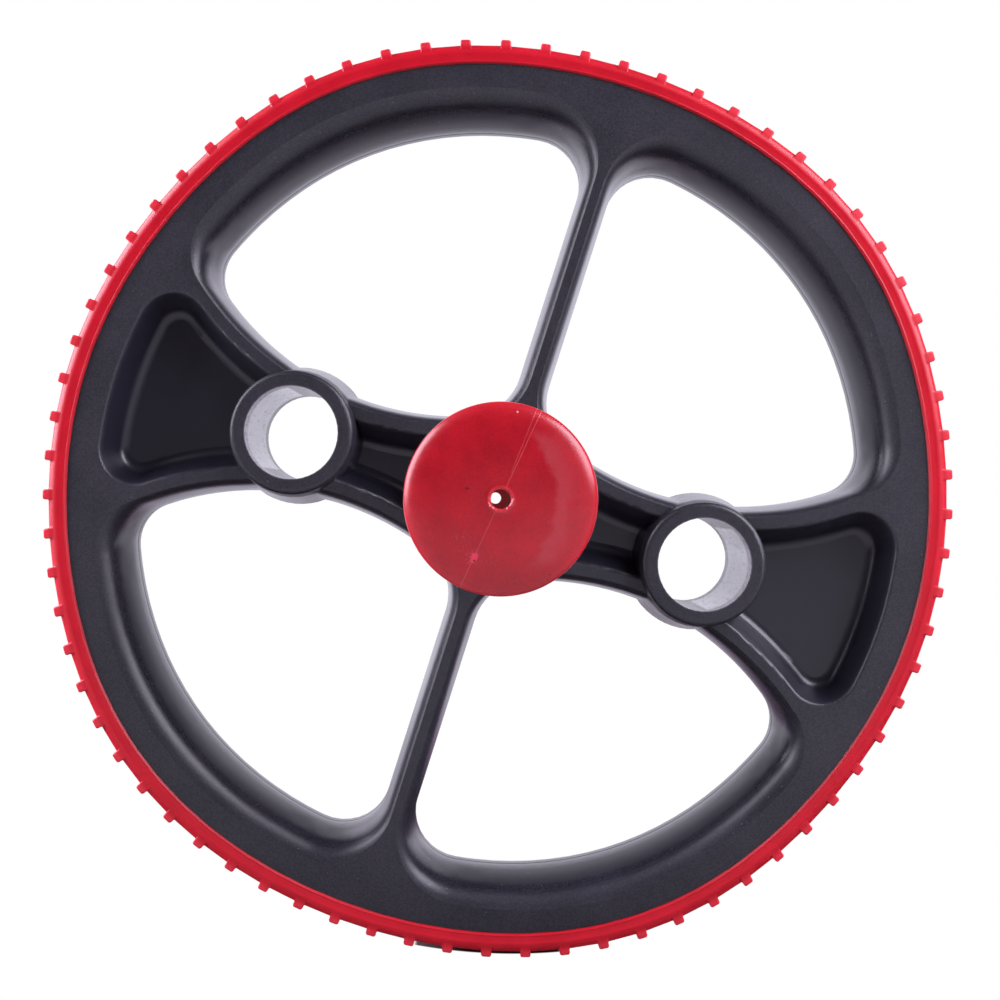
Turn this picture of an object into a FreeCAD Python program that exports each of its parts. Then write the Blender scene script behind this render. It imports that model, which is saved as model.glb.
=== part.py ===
import FreeCAD, Part
import Sketcher
import os
from FreeCAD import Placement, Rotation, Vector

# Ab wheel roller: a moulded wheel with a rubber tyre, turning on a hollow axle
# that carries a moulded handle at each end.
# Each body is modelled with its axis along its own Z. The finished part has that
# axis along Y, Z up and its origin at the middle of the wheel.
# "mid" sizes lie in the mould's parting plane at half width, "face" sizes on the wheel's face.

driving_sizes = [
    ("arm_tilt", 17.73, "degrees that the arms are turned from level"),
    # tyre
    ("cleat_tip_radius", 175.9, "wheel radius over the cleats"),
    ("cleat_height", 1.7, "above the tread"),
    ("cleat_width", 3.7, "along the tread"),
    ("cleat_length", 51.2, "across the tread"),
    ("cleat_round", 0.8, "rounding of a cleat's long edges"),
    ("cleat_root", 4.5, "depth to which a cleat's foot runs into the tyre"),
    ("cleat_count", 72, "cleats round the tread"),
    ("cleat_phase", 1.1, "degrees from level to the first cleat"),
    ("tyre_wall", 7.6, "rubber between seat and tread"),
    ("tyre_width", 52.0, "across the tyre"),
    ("tyre_shoulder", 3.6, "rounding between tread and side"),
    ("tyre_lip", 0.6, "rounding at the tyre's inner edge"),
    ("tyre_seat_gap", 0.1, "tyre to rim"),
    # rim
    ("rim_width", 50.0, "between the two faces of the wheel"),
    ("rim_edge", 0.3, "chamfer at the rim's outer edge"),
    ("tyre_groove_width", 14.0, "groove that holds the tyre"),
    ("tyre_groove_depth", 2.0, "depth of that groove"),
    # windows
    ("rim_depth_mid", 19.7, "rim seat to window at its widest"),
    ("rim_depth_face", 8.2, "the same on the face"),
    ("window_shift", 14.2, "axle to the centre of the window's rim arc"),
    ("window_angle", 52.8, "degrees from the arm to that centre"),
    ("spoke_half_mid", 6.1, "half the spoke's width"),
    ("spoke_half_face", 1.7, "the same on the face"),
    ("waist_half_mid", 21.0, "half the arm's width at its waist"),
    ("waist_half_face", 16.8, "the same on the face"),
    ("waist_distance", 59.0, "axle to the arm's waist"),
    ("arm_sweep", 113.0, "radius of the arm's side"),
    ("spoke_corner_mid", 19.0, "window corner between spoke and rim"),
    ("spoke_corner_face", 26.0, "the same on the face"),
    ("arm_corner_mid", 16.3, "window corner between rim and arm"),
    ("arm_corner_face", 21.0, "the same on the face"),
    ("hub_corner_mid", 22.0, "window corner between arm and spoke"),
    ("hub_corner_face", 26.0, "the same on the face"),
    ("flare_start", 12.0, "degrees of the flare's quarter ellipse left out at the parting plane"),
    # recess in each arm
    ("rib_width", 4.6, "rib between window and recess"),
    ("recess_land", 11.8, "rim seat to recess"),
    ("recess_depth", 14.0, "below the face"),
    ("recess_draft", 21.5, "degrees of slope of the recess walls"),
    ("recess_corner", 14.0, "recess corner at the rim"),
    ("recess_start", 13.0, "axle to the recess's inner end, under the hub"),
    ("recess_end_corner", 11.5, "recess corner at the hub"),
    ("recess_floor_round", 5.0, "fillet between recess wall and floor"),
    ("recess_edge_round", 1.6, "rounding of the recess's upper edge"),
    # hub and the two bosses
    ("boss_distance", 82.4, "axle to the boss bores"),
    ("boss_length", 62.0, "through each boss"),
    ("boss_radius_face", 23.4, "outside of a boss at its face"),
    ("boss_radius_mid", 27.3, "the same at the parting plane"),
    ("boss_edge", 2.0, "rounding of a boss's outer edge"),
    ("boss_bore", 17.75, "radius of the open bores"),
    ("hub_length", 62.0, "through the hub"),
    ("hub_radius_face", 27.0, "outside of the hub at its face"),
    ("hub_radius_mid", 31.0, "the same at the parting plane"),
    ("hub_bore", 13.0, "radius of the hub's bore"),
    # bushes, axle and thrust washers
    ("bush_fit", 0.02, "bush to hub bore"),
    ("bush_length", 22.0, "bush inside the hub"),
    ("bush_flange_radius", 19.0, "bush flange"),
    ("bush_flange_width", 2.5, "thickness of that flange"),
    ("axle_radius", 8.0, "outside of the axle tube"),
    ("axle_bore", 6.5, "inside of the axle tube"),
    ("axle_running_gap", 0.05, "axle to bush"),
    ("thrust_gap", 0.3, "end play at each side of the wheel"),
    ("washer_radius", 18.0, "thrust washer"),
    ("washer_width", 1.5, "thickness of a thrust washer"),
    ("washer_fit", 0.03, "thrust washer to axle"),
    # handles
    ("handle_reach", 170.0, "middle of the wheel to a handle's end"),
    ("handle_fit", 0.02, "handle bore to axle"),
    ("guard_radius", 23.0, "collar at the wheel end of a handle"),
    ("guard_width", 11.0, "length of that collar"),
    ("guard_round", 3.0, "rounding of the collar"),
    ("grip_radius_end", 16.3, "grip beside its collar and flange"),
    ("grip_radius_waist", 17.2, "grip at its fullest"),
    ("grip_root_round", 5.0, "fillet between grip and flange"),
    ("flange_radius", 28.2, "end flange of a handle"),
    ("flange_width", 13.0, "length of that flange"),
    ("flange_round", 5.5, "rounding of the flange's outer edge"),
    ("flange_back_round", 3.0, "rounding of its inner edge"),
    ("end_wall", 16.0, "plastic that closes the axle's end"),
    ("end_hole", 2.85, "radius of the small hole through that wall"),
    ("ring_count", 7, "finger rings moulded in the grip"),
    ("ring_margin", 19.35, "collar or flange to the middle of the nearest ring"),
    ("ring_depth", 1.2, "depth of a ring groove at the grip's fullest"),
    ("ring_floor", 2.4, "width of a ring groove's floor"),
    ("ring_mouth", 5.6, "width of a ring groove at twice its depth"),
    # set screws that hold the handles on the axle
    ("screw_radius", 2.5, "set screw"),
    ("screw_length", 13.0, "along the screw"),
    ("screw_fit", 0.05, "screw to its hole"),
    ("screw_reach", 0.6, "from the axle's bore to the screw's tip"),
    ("screw_socket", 1.4, "radius of the circle through the socket's six corners"),
    ("screw_socket_depth", 2.5, "depth of the socket"),
    ("screw_point", 0.7, "bevel at the screw's tip"),
]
flare_sections = 5

doc = FreeCAD.newDocument("ab_wheel_roller")
sheet = doc.addObject("Spreadsheet::Sheet", "Sizes")
for row, (alias, value, note) in enumerate(driving_sizes, start=1):
    sheet.set(f"A{row}", str(value))
    sheet.setAlias(f"A{row}", alias)
    sheet.set(f"B{row}", note)
doc.recompute()


def number(formula):
    """Value of a formula on the sheet's cells."""
    result = sheet.evalExpression(formula)
    return float(getattr(result, "Value", result))


# Formulas that several pieces share.
rim_radius = "(Sizes.cleat_tip_radius - Sizes.cleat_height - Sizes.tyre_wall)"
tread_radius = "(Sizes.cleat_tip_radius - Sizes.cleat_height)"
tyre_bore = f"({rim_radius} + Sizes.tyre_seat_gap)"
face_height = "(Sizes.rim_width / 2)"
hub_end = "(Sizes.hub_length / 2)"
bush_end = f"({hub_end} + Sizes.bush_flange_width)"
washer_start = f"({bush_end} + Sizes.thrust_gap)"
handle_start = f"({washer_start} + Sizes.washer_width)"
axle_end = "(Sizes.handle_reach - Sizes.end_wall)"
grip_start = f"({handle_start} + Sizes.guard_width)"
grip_end = "(Sizes.handle_reach - Sizes.flange_width)"
screw_height = f"({handle_start} + Sizes.guard_width / 2)"
screw_tip = "(Sizes.axle_bore + Sizes.screw_reach)"


def new_body(label):
    body = doc.addObject("PartDesign::Body", label)
    body.Label = label
    return body


def origin_feature(body, role):
    return next(item for item in body.Origin.OriginFeatures if item.Role == role)


def new_sketch(body, name, role="XY_Plane", lift=None):
    """Sketch on one of the body's origin planes, lifted along the plane's normal."""
    sketch = body.newObject("Sketcher::SketchObject", name)
    sketch.AttachmentSupport = [(origin_feature(body, role), "")]
    sketch.MapMode = "FlatFace"
    if lift:
        sketch.setExpression("AttachmentOffset.Base.z", lift)
    return sketch


def dimension(sketch, kind, references, formula):
    """Dimensional constraint whose value follows a formula on the sheet."""
    index = sketch.addConstraint(Sketcher.Constraint(kind, *references, number(formula)))
    sketch.renameConstraint(index, f"size{index}")
    sketch.setExpression(f"Constraints.size{index}", formula)


def place_point(sketch, geometry, end, across, up):
    """Tie one point of the sketch to its coordinates; None puts it on that axis."""
    for kind, formula, axis in (("DistanceX", across, -2), ("DistanceY", up, -1)):
        if formula is None:
            sketch.addConstraint(Sketcher.Constraint("PointOnObject", geometry, end, axis))
        else:
            dimension(sketch, kind, (-1, 1, geometry, end), formula)


def point_at(across, up):
    return Vector(0 if across is None else number(across), 0 if up is None else number(up), 0)


def outline(sketch, corners):
    """Closed outline of straight lines through corners given as pairs of formulas."""
    points = [point_at(*corner) for corner in corners]
    count = len(points)
    for index in range(count):
        sketch.addGeometry(Part.LineSegment(points[index], points[(index + 1) % count]))
    for index in range(count):
        sketch.addConstraint(Sketcher.Constraint("Coincident", index, 2, (index + 1) % count, 1))
        place_point(sketch, index, 1, *corners[index])


def circle(sketch, across, up, radius):
    centre = point_at(across, up)
    index = sketch.addGeometry(Part.Circle(centre, Vector(0, 0, 1), number(radius)))
    dimension(sketch, "Radius", (index,), radius)
    place_point(sketch, index, 3, across, up)


def arc_between(centre, radius, start, end):
    """Counter-clockwise arc from the direction of one point to that of another."""
    angles = [(point - centre).getAngle(Vector(1, 0, 0)) for point in (start, end)]
    signed = [a if (p - centre).y >= 0 else -a for a, p in zip(angles, (start, end))]
    return Part.ArcOfCircle(Part.Circle(centre, Vector(0, 0, 1), radius), *signed)


def touch_point(centre, radius, inner):
    """Where a circle touches a smaller one that lies inside it."""
    return centre + (inner - centre).normalize() * radius


def feature(body, kind, name, profile=None, **formulas):
    item = body.newObject(f"PartDesign::{kind}", name)
    if profile:
        item.Profile = profile
    for prop, formula in formulas.items():
        item.setExpression(prop, formula)
    return item


def revolve(body, name, profile, axis="V_Axis", kind="Revolution"):
    item = feature(body, kind, name, profile)
    item.ReferenceAxis = (profile, [axis])
    item.Angle = 360
    return item


def pad_both_ways(body, name, profile, length):
    item = feature(body, "Pad", name, profile, Length=length)
    item.SideType = "Symmetric"
    return item


def cut_through(body, name, profile):
    item = feature(body, "Pocket", name, profile)
    item.Type = "ThroughAll"
    item.SideType = "Symmetric"
    return item


def mirror(body, name, original, role):
    item = feature(body, "Mirrored", name)
    item.Originals = [original]
    item.MirrorPlane = (origin_feature(body, role), [""])
    body.Tip = item
    return item


def round_edges(body, name, base, radius, wanted):
    """Fillet on the edges of a feature's shape that pass a test."""
    doc.recompute()
    edges = [f"Edge{i}" for i, edge in enumerate(base.Shape.Edges, start=1) if wanted(edge)]
    item = feature(body, "Fillet", name, Radius=radius)
    item.Base = (base, edges)
    return item


def near(value, formula, slack=0.01):
    return abs(value - number(formula)) < slack


def level_edge(edge, formula):
    """True if the whole edge lies at one height."""
    box = edge.BoundBox
    return near(box.ZMin, formula) and near(box.ZMax, formula)


def circle_at(edge, radius, height):
    """True for a circle round the body's own axis with this radius and height."""
    curve = edge.Curve
    is_circle = isinstance(curve, Part.Circle)
    return is_circle and near(curve.Radius, radius) and level_edge(edge, height)


def to_axle(turn=0.0, back=False):
    """Placement that lays a body's Z axis along the axle, to the front or the back."""
    lay = Rotation(Vector(1, 0, 0), -90 if back else 90)
    return Placement(Vector(0, 0, 0), lay * Rotation(Vector(0, 0, 1), -turn))


# Wheel body

def blend(mid, face, share):
    return f"({mid} + {share} * ({face} - {mid}))"


def window_section(body, step):
    """Window outline at one height of the flare, a quarter ellipse from mid to face.

    The outline is the spoke's straight side and five arcs, each tangent to the next:
    spoke corner, rim, arm corner, arm side and hub corner.
    """
    start = "Sizes.flare_start"
    angle = f"({start} + (90 - {start}) * {step} / {flare_sections - 1})"
    share = f"((cos({start}) - cos({angle})) / cos({start}))"
    height = f"({face_height} * (sin({angle}) - sin({start})) / (1 - sin({start})))"

    spoke = blend("Sizes.spoke_half_mid", "Sizes.spoke_half_face", share)
    rim = f"({rim_radius} - {blend('Sizes.rim_depth_mid', 'Sizes.rim_depth_face', share)} - Sizes.window_shift)"
    arm = f"(Sizes.arm_sweep + {share} * (Sizes.waist_half_mid - Sizes.waist_half_face))"
    spoke_corner = blend("Sizes.spoke_corner_mid", "Sizes.spoke_corner_face", share)
    arm_corner = blend("Sizes.arm_corner_mid", "Sizes.arm_corner_face", share)
    hub_corner = blend("Sizes.hub_corner_mid", "Sizes.hub_corner_face", share)
    rim_centre = ("Sizes.window_shift * cos(Sizes.window_angle)",
                  "Sizes.window_shift * sin(Sizes.window_angle)")
    arm_centre = ("Sizes.waist_distance", "Sizes.waist_half_mid + Sizes.arm_sweep")

    side = number(spoke)
    rim_r, arm_r = number(rim), number(arm)
    corner_a, corner_b, corner_c = number(spoke_corner), number(arm_corner), number(hub_corner)
    rim_c, arm_c = point_at(*rim_centre), point_at(*arm_centre)
    centre_a = Vector(side + corner_a, 0, 0)
    centre_a.y = rim_c.y + ((rim_r - corner_a) ** 2 - (centre_a.x - rim_c.x) ** 2) ** 0.5
    centre_c = Vector(side + corner_c, 0, 0)
    centre_c.y = arm_c.y - ((arm_r - corner_c) ** 2 - (centre_c.x - arm_c.x) ** 2) ** 0.5
    between = arm_c - rim_c
    span = between.Length
    along = between.normalize()
    reach = (span ** 2 + (rim_r - corner_b) ** 2 - (arm_r - corner_b) ** 2) / (2 * span)
    aside = ((rim_r - corner_b) ** 2 - reach ** 2) ** 0.5
    centre_b = rim_c + along * reach + Vector(along.y, -along.x, 0) * aside

    spoke_top = Vector(side, centre_a.y, 0)
    spoke_foot = Vector(side, centre_c.y, 0)
    rim_start = touch_point(rim_c, rim_r, centre_a)
    rim_stop = touch_point(rim_c, rim_r, centre_b)
    arm_start = touch_point(arm_c, arm_r, centre_b)
    arm_stop = touch_point(arm_c, arm_r, centre_c)

    sketch = new_sketch(body, f"WindowSection{step}", lift=height)
    sketch.addGeometry(Part.LineSegment(spoke_top, spoke_foot))
    sketch.addGeometry(arc_between(centre_c, corner_c, spoke_foot, arm_stop))
    sketch.addGeometry(arc_between(arm_c, arm_r, arm_stop, arm_start))
    sketch.addGeometry(arc_between(centre_b, corner_b, arm_start, rim_stop))
    sketch.addGeometry(arc_between(rim_c, rim_r, rim_stop, rim_start))
    sketch.addGeometry(arc_between(centre_a, corner_a, rim_start, spoke_top))
    for index in range(6):
        following = (index + 1) % 6
        sketch.addConstraint(Sketcher.Constraint("Tangent", index, 2, following, 1))
    sketch.addConstraint(Sketcher.Constraint("Vertical", 0))
    dimension(sketch, "DistanceX", (-1, 1, 0, 1), spoke)
    for index, radius in ((1, hub_corner), (2, arm), (3, arm_corner), (4, rim), (5, spoke_corner)):
        dimension(sketch, "Radius", (index,), radius)
    place_point(sketch, 2, 3, *arm_centre)
    place_point(sketch, 4, 3, *rim_centre)
    return sketch


def recess_outline(sketch):
    """Outline of the recess in one arm: two arm sides, the rim arc and a blunt hub end."""
    side = "(Sizes.arm_sweep + Sizes.waist_half_mid - Sizes.waist_half_face + Sizes.rib_width)"
    side_height = "(Sizes.waist_half_mid + Sizes.arm_sweep)"
    rim = f"({rim_radius} - Sizes.recess_land)"
    start = number("Sizes.recess_start")
    side_r, rim_r = number(side), number(rim)
    corner, end_corner = number("Sizes.recess_corner"), number("Sizes.recess_end_corner")
    upper = point_at("Sizes.waist_distance", side_height)

    # The side arcs bulge into the recess, so its corners touch them from outside.
    span = upper.Length
    along = Vector(upper).normalize()
    reach = (span ** 2 + (rim_r - corner) ** 2 - (side_r + corner) ** 2) / (2 * span)
    aside = ((rim_r - corner) ** 2 - reach ** 2) ** 0.5
    rim_corner = along * reach + Vector(along.y, -along.x, 0) * aside
    hub_corner = Vector(start + end_corner, 0, 0)
    hub_corner.y = upper.y - ((side_r + end_corner) ** 2 - (hub_corner.x - upper.x) ** 2) ** 0.5
    at_rim = touch_point(Vector(), rim_r, rim_corner)
    side_outer = touch_point(upper, side_r, rim_corner)
    side_inner = touch_point(upper, side_r, hub_corner)
    at_hub = Vector(start, hub_corner.y, 0)

    def low(point):
        return Vector(point.x, -point.y, 0)

    sketch.addGeometry(arc_between(Vector(), rim_r, low(at_rim), at_rim))
    sketch.addGeometry(arc_between(rim_corner, corner, at_rim, side_outer))
    sketch.addGeometry(arc_between(upper, side_r, side_inner, side_outer))
    sketch.addGeometry(arc_between(hub_corner, end_corner, side_inner, at_hub))
    sketch.addGeometry(Part.LineSegment(at_hub, low(at_hub)))
    sketch.addGeometry(arc_between(low(hub_corner), end_corner, low(at_hub), low(side_inner)))
    sketch.addGeometry(arc_between(low(upper), side_r, low(side_outer), low(side_inner)))
    sketch.addGeometry(arc_between(low(rim_corner), corner, low(side_outer), low(at_rim)))
    ends = ((0, 2, 1, 1), (1, 2, 2, 2), (2, 1, 3, 1), (3, 2, 4, 1),
            (4, 2, 5, 1), (5, 2, 6, 2), (6, 1, 7, 1), (7, 2, 0, 1))
    for joint in ends:
        sketch.addConstraint(Sketcher.Constraint("Tangent", *joint))
    sketch.addConstraint(Sketcher.Constraint("Vertical", 4))
    dimension(sketch, "DistanceX", (-1, 1, 4, 1), "Sizes.recess_start")
    radii = (rim, "Sizes.recess_corner", side, "Sizes.recess_end_corner",
             None, "Sizes.recess_end_corner", side, "Sizes.recess_corner")
    for index, radius in enumerate(radii):
        if radius:
            dimension(sketch, "Radius", (index,), radius)
    place_point(sketch, 0, 3, None, None)
    place_point(sketch, 2, 3, "Sizes.waist_distance", side_height)
    place_point(sketch, 6, 3, "Sizes.waist_distance", f"-{side_height}")


def drafted_boss(body, name, radius_mid, radius_face, length, distance=None):
    """Half of a drafted boss, turned round the last line of its section."""
    sketch = new_sketch(body, f"{name}Profile", "XZ_Plane")
    middle = f"{distance} + " if distance else ""
    top = f"({length} / 2)"
    outline(sketch, [
        (distance, None),
        (f"{middle}{radius_mid}", None),
        (f"{middle}{radius_face}", top),
        (distance, top),
    ])
    return revolve(body, name, sketch, axis="Edge4")


def make_wheel_body():
    body = new_body("wheel_body")

    # One half of the moulding, from the parting plane to the face.
    disc_profile = new_sketch(body, "DiscProfile", "XZ_Plane")
    groove_radius = f"({rim_radius} - Sizes.tyre_groove_depth)"
    outline(disc_profile, [
        (None, None),
        (groove_radius, None),
        (groove_radius, "Sizes.tyre_groove_width / 2"),
        (rim_radius, "Sizes.tyre_groove_width / 2"),
        (rim_radius, f"{face_height} - Sizes.rim_edge"),
        (f"{rim_radius} - Sizes.rim_edge", face_height),
        (None, face_height),
    ])
    revolve(body, "Disc", disc_profile)

    recess_sketch = new_sketch(body, "RecessOutline", lift=face_height)
    recess_outline(recess_sketch)
    recess = feature(body, "Pocket", "Recess", recess_sketch, Length="Sizes.recess_depth",
                     TaperAngle="-Sizes.recess_draft")
    recesses = mirror(body, "Recesses", recess, "YZ_Plane")

    floor = f"({face_height} - Sizes.recess_depth)"
    floors = round_edges(body, "RecessFloors", recesses, "Sizes.recess_floor_round",
                         lambda edge: level_edge(edge, floor))
    edges = round_edges(body, "RecessEdges", floors, "Sizes.recess_edge_round",
                        lambda edge: level_edge(edge, face_height)
                        and not near(edge.BoundBox.XMax, f"{rim_radius} - Sizes.rim_edge"))
    body.Tip = edges

    sections = [window_section(body, step) for step in range(flare_sections)]
    window = feature(body, "SubtractiveLoft", "Window", sections[0])
    window.Sections = sections[1:]
    windows = feature(body, "MultiTransform", "Windows")
    windows.Originals = [window]
    across = feature(body, "Mirrored", "WindowAcross")
    across.MirrorPlane = (origin_feature(body, "YZ_Plane"), [""])
    below = feature(body, "Mirrored", "WindowBelow")
    below.MirrorPlane = (origin_feature(body, "XZ_Plane"), [""])
    windows.Transformations = [across, below]
    body.Tip = windows

    drafted_boss(body, "Hub", "Sizes.hub_radius_mid", "Sizes.hub_radius_face", "Sizes.hub_length")
    boss = drafted_boss(body, "Boss", "Sizes.boss_radius_mid", "Sizes.boss_radius_face",
                        "Sizes.boss_length", "Sizes.boss_distance")
    bosses = mirror(body, "Bosses", boss, "YZ_Plane")

    boss_end = "(Sizes.boss_length / 2)"
    rounded = round_edges(body, "BossEdges", bosses, "Sizes.boss_edge",
                          lambda edge: isinstance(edge.Curve, Part.Circle)
                          and (level_edge(edge, boss_end) or level_edge(edge, hub_end)))
    body.Tip = rounded

    bore_sketch = new_sketch(body, "Bores")
    circle(bore_sketch, "Sizes.boss_distance", None, "Sizes.boss_bore")
    circle(bore_sketch, "-Sizes.boss_distance", None, "Sizes.boss_bore")
    circle(bore_sketch, None, None, "Sizes.hub_bore")
    cut_through(body, "BoreCut", bore_sketch)
    doc.recompute()

    whole = feature(body, "Mirrored", "WholeWheel")
    whole.TransformMode = "Whole shape"
    whole.MirrorPlane = (origin_feature(body, "XY_Plane"), [""])
    body.Tip = whole
    body.Placement = to_axle(number("Sizes.arm_tilt"))
    return body


# Tyre

def cleat_section(sketch):
    """Section of one cleat across the tread's run, with its two outer edges rounded."""
    foot = number(f"{tread_radius} - Sizes.cleat_root")
    tip = number("Sizes.cleat_tip_radius")
    half = number("Sizes.cleat_width / 2")
    rounding = number("Sizes.cleat_round")
    edge = half - rounding
    shoulder = tip - rounding
    sketch.addGeometry(Part.LineSegment(Vector(foot, half, 0), Vector(foot, -half, 0)))
    sketch.addGeometry(Part.LineSegment(Vector(foot, -half, 0), Vector(shoulder, -half, 0)))
    sketch.addGeometry(arc_between(Vector(shoulder, -edge, 0), rounding,
                                   Vector(shoulder, -half, 0), Vector(tip, -edge, 0)))
    sketch.addGeometry(Part.LineSegment(Vector(tip, -edge, 0), Vector(tip, edge, 0)))
    sketch.addGeometry(arc_between(Vector(shoulder, edge, 0), rounding,
                                   Vector(tip, edge, 0), Vector(shoulder, half, 0)))
    sketch.addGeometry(Part.LineSegment(Vector(shoulder, half, 0), Vector(foot, half, 0)))
    for first, second, kind in ((0, 1, "Coincident"), (1, 2, "Tangent"), (2, 3, "Tangent"),
                                (3, 4, "Tangent"), (4, 5, "Tangent"), (5, 0, "Coincident")):
        sketch.addConstraint(Sketcher.Constraint(kind, first, 2, second, 1))
    for index in (1, 5):
        sketch.addConstraint(Sketcher.Constraint("Horizontal", index))
    sketch.addConstraint(Sketcher.Constraint("Vertical", 3))
    for index in (2, 4):
        dimension(sketch, "Radius", (index,), "Sizes.cleat_round")
    place_point(sketch, 0, 1, f"{tread_radius} - Sizes.cleat_root", "Sizes.cleat_width / 2")
    place_point(sketch, 0, 2, f"{tread_radius} - Sizes.cleat_root", "-Sizes.cleat_width / 2")
    dimension(sketch, "DistanceX", (-1, 1, 3, 1), "Sizes.cleat_tip_radius")


def make_tyre():
    body = new_body("tyre")
    side = "(Sizes.tyre_width / 2)"
    key_side = "(Sizes.tyre_groove_width / 2 - Sizes.tyre_seat_gap)"
    key_radius = f"({tyre_bore} - Sizes.tyre_groove_depth)"

    # Band with a key on its bore that sits in the rim's groove.
    band_profile = new_sketch(body, "BandProfile", "XZ_Plane")
    outline(band_profile, [
        (tyre_bore, f"-{side}"),
        (tread_radius, f"-{side}"),
        (tread_radius, side),
        (tyre_bore, side),
        (tyre_bore, key_side),
        (key_radius, key_side),
        (key_radius, f"-{key_side}"),
        (tyre_bore, f"-{key_side}"),
    ])
    band = revolve(body, "Band", band_profile)
    shoulders = round_edges(body, "Shoulders", band, "Sizes.tyre_shoulder",
                            lambda edge: circle_at(edge, tread_radius, side)
                            or circle_at(edge, tread_radius, f"-{side}"))
    round_edges(body, "Lips", shoulders, "Sizes.tyre_lip",
                lambda edge: circle_at(edge, tyre_bore, side)
                or circle_at(edge, tyre_bore, f"-{side}"))

    cleat_sketch = new_sketch(body, "CleatSection")
    cleat_section(cleat_sketch)
    cleat = pad_both_ways(body, "Cleat", cleat_sketch, "Sizes.cleat_length")
    cleats = feature(body, "PolarPattern", "Cleats", Occurrences="Sizes.cleat_count")
    cleats.Originals = [cleat]
    cleats.Axis = (origin_feature(body, "Z_Axis"), [""])
    cleats.Angle = 360
    body.Tip = cleats
    body.Placement = to_axle(number("Sizes.cleat_phase"))
    return body


# Bearing of the wheel on its axle

def make_bush(label, back):
    body = new_body(label)
    bore = "(Sizes.axle_radius + Sizes.axle_running_gap)"
    sleeve = "(Sizes.hub_bore - Sizes.bush_fit)"
    inner_end = f"({hub_end} - Sizes.bush_length)"
    profile = new_sketch(body, "BushProfile", "XZ_Plane")
    outline(profile, [
        (bore, inner_end),
        (sleeve, inner_end),
        (sleeve, hub_end),
        ("Sizes.bush_flange_radius", hub_end),
        ("Sizes.bush_flange_radius", bush_end),
        (bore, bush_end),
    ])
    revolve(body, "Bush", profile)
    body.Placement = to_axle(back=back)
    return body


def make_washer(label, back):
    body = new_body(label)
    ring = new_sketch(body, "WasherRing", lift=washer_start)
    circle(ring, None, None, "Sizes.washer_radius")
    circle(ring, None, None, "Sizes.axle_radius + Sizes.washer_fit")
    feature(body, "Pad", "Washer", ring, Length="Sizes.washer_width")
    body.Placement = to_axle(back=back)
    return body


# Axle and handles

def screw_hole(body, name):
    """Radial hole for a set screw, from the axis down through the wall."""
    sketch = new_sketch(body, f"{name}Circle", "XZ_Plane")
    circle(sketch, None, screw_height, "Sizes.screw_radius + Sizes.screw_fit")
    hole = feature(body, "Pocket", name, sketch)
    hole.Type = "ThroughAll"
    hole.Reversed = True
    return hole


def make_axle():
    body = new_body("axle_tube")
    ring = new_sketch(body, "TubeRing")
    circle(ring, None, None, "Sizes.axle_radius")
    circle(ring, None, None, "Sizes.axle_bore")
    pad_both_ways(body, "Tube", ring, f"2 * {axle_end}")
    hole = screw_hole(body, "ScrewHole")
    mirror(body, "ScrewHoles", hole, "XY_Plane")
    body.Placement = to_axle()
    return body


def handle_profile(sketch):
    """Section of a handle: collar, swelling grip, end flange, and the bore for the axle."""
    bore = "(Sizes.axle_radius + Sizes.handle_fit)"
    corners = [
        ("Sizes.grip_radius_end", grip_end),
        ("Sizes.flange_radius", grip_end),
        ("Sizes.flange_radius", "Sizes.handle_reach"),
        ("Sizes.end_hole", "Sizes.handle_reach"),
        ("Sizes.end_hole", axle_end),
        (bore, axle_end),
        (bore, handle_start),
        ("Sizes.guard_radius", handle_start),
        ("Sizes.guard_radius", grip_start),
        ("Sizes.grip_radius_end", grip_start),
    ]
    points = [point_at(*corner) for corner in corners]
    last = len(points) - 1
    for index in range(last):
        sketch.addGeometry(Part.LineSegment(points[index], points[index + 1]))
    rise = "(Sizes.grip_radius_waist - Sizes.grip_radius_end)"
    half = f"(({grip_end} - {grip_start}) / 2)"
    swell = f"({rise} ^ 2 + {half} ^ 2) / (2 * {rise})"
    fullest = Vector(number("Sizes.grip_radius_waist"), number(f"({grip_start} + {grip_end}) / 2"), 0)
    grip = sketch.addGeometry(Part.Arc(points[last], fullest, points[0]))
    for index in range(last - 1):
        sketch.addConstraint(Sketcher.Constraint("Coincident", index, 2, index + 1, 1))
    sketch.addConstraint(Sketcher.Constraint("Coincident", last - 1, 2, grip, 1))
    sketch.addConstraint(Sketcher.Constraint("Coincident", grip, 2, 0, 1))
    for index in range(last):
        place_point(sketch, index, 1, *corners[index])
    place_point(sketch, last - 1, 2, *corners[last])
    dimension(sketch, "Radius", (grip,), swell)


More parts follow.
